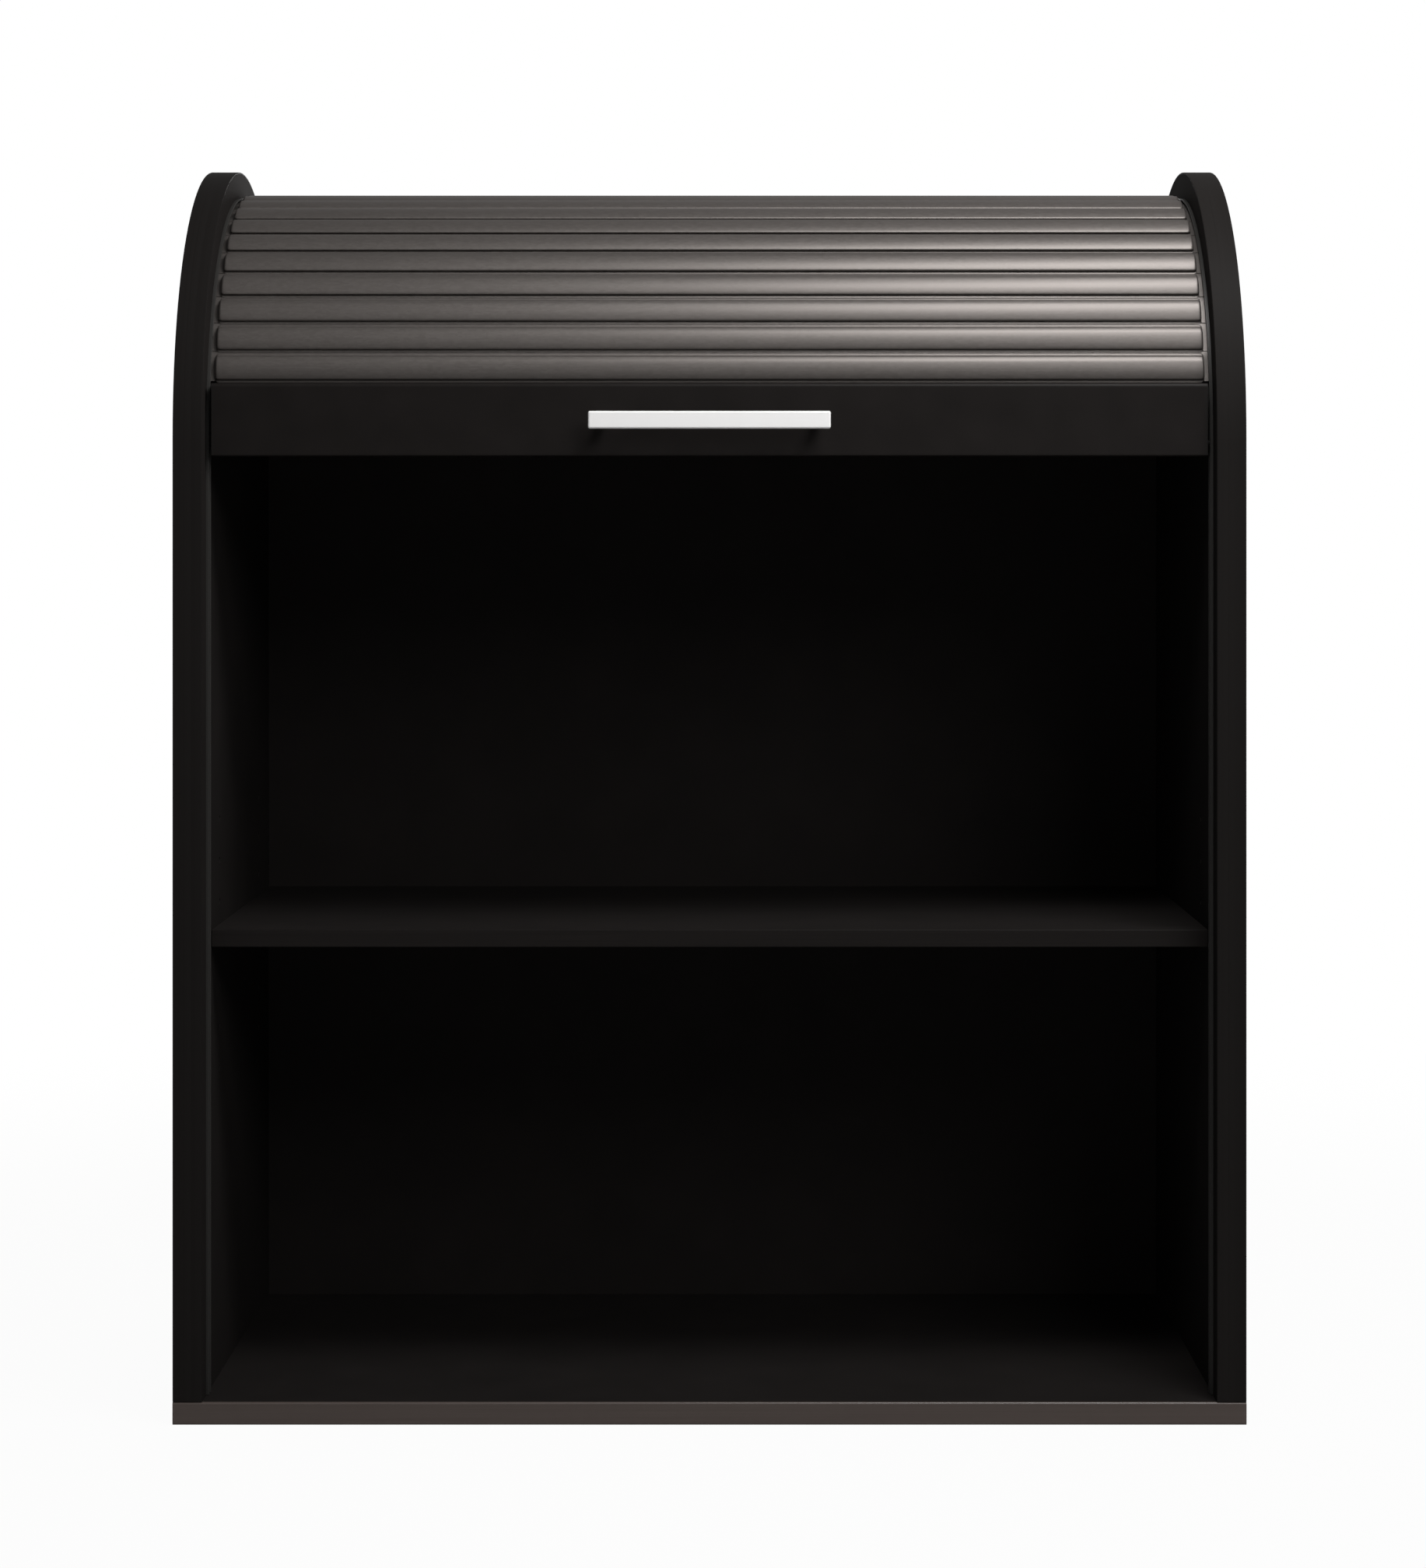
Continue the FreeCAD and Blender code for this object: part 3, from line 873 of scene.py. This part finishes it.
@dataclass
class Studio:
    """The white floor and surroundings, the lamps and the camera, in metres."""

    floor_half_size: float = 12.0
    floor_drop: float = 0.0004
    floor_paint: str = "#d8d8d8"
    near_white_share: float = 0.96
    fade_start: float = 0.7
    fade_end: float = 1.9
    surround_light: float = 0.2
    front_room_light: float = 0.14
    front_floor_light: float = 0.06
    white_reflection: float = 0.35
    front_room_edge: float = 0.45
    white_edge: float = 1.0
    white_floor_start: float = 0.2
    white_floor_end: float = 1.2
    camera_place: tuple[float, float, float] = (0.0175, -2.809, 0.6622)
    focal_length: float = 79.8
    sensor_width: float = 36.0
    axis_column: float = 942.2
    axis_row: float = 689.4
    view_reach: float = 60.0

    def reflected_rays(self, tree: bpy.types.NodeTree, path: bpy.types.Node) -> bpy.types.NodeSocket:
        """Tell rays that show the surroundings in metal or glass from the others.

        Args:
            tree: The node tree.
            path: Its Light Path node.

        Returns:
            One for glossy and transmission rays.
        """
        return add_node(
            tree, "ShaderNodeMath", {"operation": "MAXIMUM"},
            {0: path.outputs["Is Glossy Ray"], 1: path.outputs["Is Transmission Ray"]},
        ).outputs[0]

    def build_world(self) -> None:
        """Make the surroundings white to look at, and a plain soft light."""
        world = bpy.data.worlds.new("white_studio")
        world.use_nodes = True
        tree = world.node_tree
        tree.nodes.clear()
        generated = add_node(tree, "ShaderNodeTexCoord").outputs["Generated"]
        way = add_node(tree, "ShaderNodeSeparateXYZ", links={0: generated})
        reflected = add_node(
            tree, "ShaderNodeMapRange",
            {
                "interpolation_type": "SMOOTHSTEP",
                "From Min": self.front_room_edge, "From Max": self.white_edge,
                "To Min": self.front_room_light, "To Max": self.white_reflection,
            },
            {"Value": way.outputs["Y"]},
        )
        path = add_node(tree, "ShaderNodeLightPath")
        lit = add_node(
            tree, "ShaderNodeMix", {"data_type": "FLOAT", NUMBER_A: self.surround_light},
            {0: self.reflected_rays(tree, path), NUMBER_B: reflected.outputs[0]},
        )
        strength = add_node(
            tree, "ShaderNodeMix", {"data_type": "FLOAT", NUMBER_B: 1.0},
            {0: path.outputs["Is Camera Ray"], NUMBER_A: lit.outputs[0]},
        )
        light = add_node(
            tree, "ShaderNodeBackground", {"Color": linear(WHITE)}, {"Strength": strength.outputs[0]}
        )
        add_node(tree, "ShaderNodeOutputWorld", links={"Surface": light.outputs[0]})
        bpy.context.scene.world = world

    def build_floor(self) -> None:
        """Lay a white floor that keeps the cabinet's soft shadow and fades out of sight."""
        half = self.floor_half_size
        signs = ((-1, -1), (1, -1), (1, 1), (-1, 1))
        corners = [Vector((x * half, y * half, -self.floor_drop)) for x, y in signs]
        floor = skin("floor", corners, [(0, 1, 2, 3)], sharp_degrees=30.0)
        made = bpy.data.materials.new("white_painted_floor")
        made.use_nodes = True
        tree = made.node_tree
        tree.nodes.clear()
        place = add_node(tree, "ShaderNodeTexCoord").outputs["Object"]
        away = add_node(tree, "ShaderNodeVectorMath", {"operation": "LENGTH"}, {0: place})
        depth = add_node(tree, "ShaderNodeSeparateXYZ", links={0: place}).outputs["Y"]
        reflected = add_node(
            tree, "ShaderNodeMapRange",
            {
                "interpolation_type": "SMOOTHSTEP",
                "From Min": self.white_floor_start, "From Max": self.white_floor_end,
                "To Min": self.front_floor_light, "To Max": self.white_reflection,
            },
            {"Value": depth},
        )
        path = add_node(tree, "ShaderNodeLightPath")
        glow = add_node(
            tree, "ShaderNodeMix", {"data_type": "FLOAT", NUMBER_B: 1.0},
            {0: path.outputs["Is Camera Ray"], NUMBER_A: reflected.outputs[0]},
        )
        white_share = add_node(
            tree, "ShaderNodeMapRange",
            {
                "interpolation_type": "SMOOTHSTEP",
                "From Min": self.fade_start, "From Max": self.fade_end,
                "To Min": self.near_white_share, "To Max": 1.0,
            },
            {"Value": away.outputs["Value"]},
        )
        seen = add_node(
            tree, "ShaderNodeMath", {"operation": "MAXIMUM"},
            {0: path.outputs["Is Camera Ray"], 1: self.reflected_rays(tree, path)},
        )
        share = add_node(
            tree, "ShaderNodeMath", {"operation": "MULTIPLY"},
            {0: white_share.outputs[0], 1: seen.outputs[0]},
        )
        paint = add_node(tree, "ShaderNodeBsdfDiffuse", {"Color": linear(self.floor_paint)})
        white = add_node(tree, "ShaderNodeEmission", {"Color": linear(WHITE)}, {"Strength": glow.outputs[0]})
        mixed = add_node(
            tree, "ShaderNodeMixShader",
            links={0: share.outputs[0], 1: paint.outputs[0], 2: white.outputs[0]},
        )
        add_node(tree, "ShaderNodeOutputMaterial", links={"Surface": mixed.outputs[0]})
        floor.data.materials.append(made)

    def build_camera(self) -> None:
        """Set the camera where the photograph was taken from."""
        data = bpy.data.cameras.new("camera")
        data.lens = self.focal_length
        data.sensor_width = self.sensor_width
        data.shift_x = (IMAGE_WIDTH / 2 - self.axis_column) / IMAGE_HEIGHT
        data.shift_y = (self.axis_row - IMAGE_HEIGHT / 2) / IMAGE_HEIGHT
        data.clip_end = self.view_reach
        camera = bpy.data.objects.new("camera", data)
        camera.location = self.camera_place
        camera.rotation_euler = (math.pi / 2, 0.0, 0.0)
        bpy.context.scene.collection.objects.link(camera)
        bpy.context.scene.camera = camera

    def build(self) -> None:
        """Build the surroundings, the lamps and the camera."""
        bpy.context.scene.view_settings.view_transform = "Standard"
        self.build_world()
        self.build_floor()
        Lamp("key", (0.40, -0.64, 1.6), (0.05, -0.1, 0.75), 0.7, 0.3, 10.6).build()
        Lamp("front_fill", (1.5, -2.8, 2.2), (0.0, -0.2, 0.6), 1.6, 1.2, 31.0).build()
        Lamp("back_fill", (0.9, 2.6, 0.8), (0.0, 0.0, 0.5), 1.6, 1.2, 30.0).build()
        self.build_camera()


def main() -> None:
    """Build and dress the cabinet in order, then the studio round it."""
    logging.basicConfig(level=logging.INFO, format="%(name)s: %(message)s")
    Carcass().dress()
    GuideRails().dress()
    Lath().dress()
    Curtain().build()
    Studio().build()


if __name__ == "__main__":
    main()
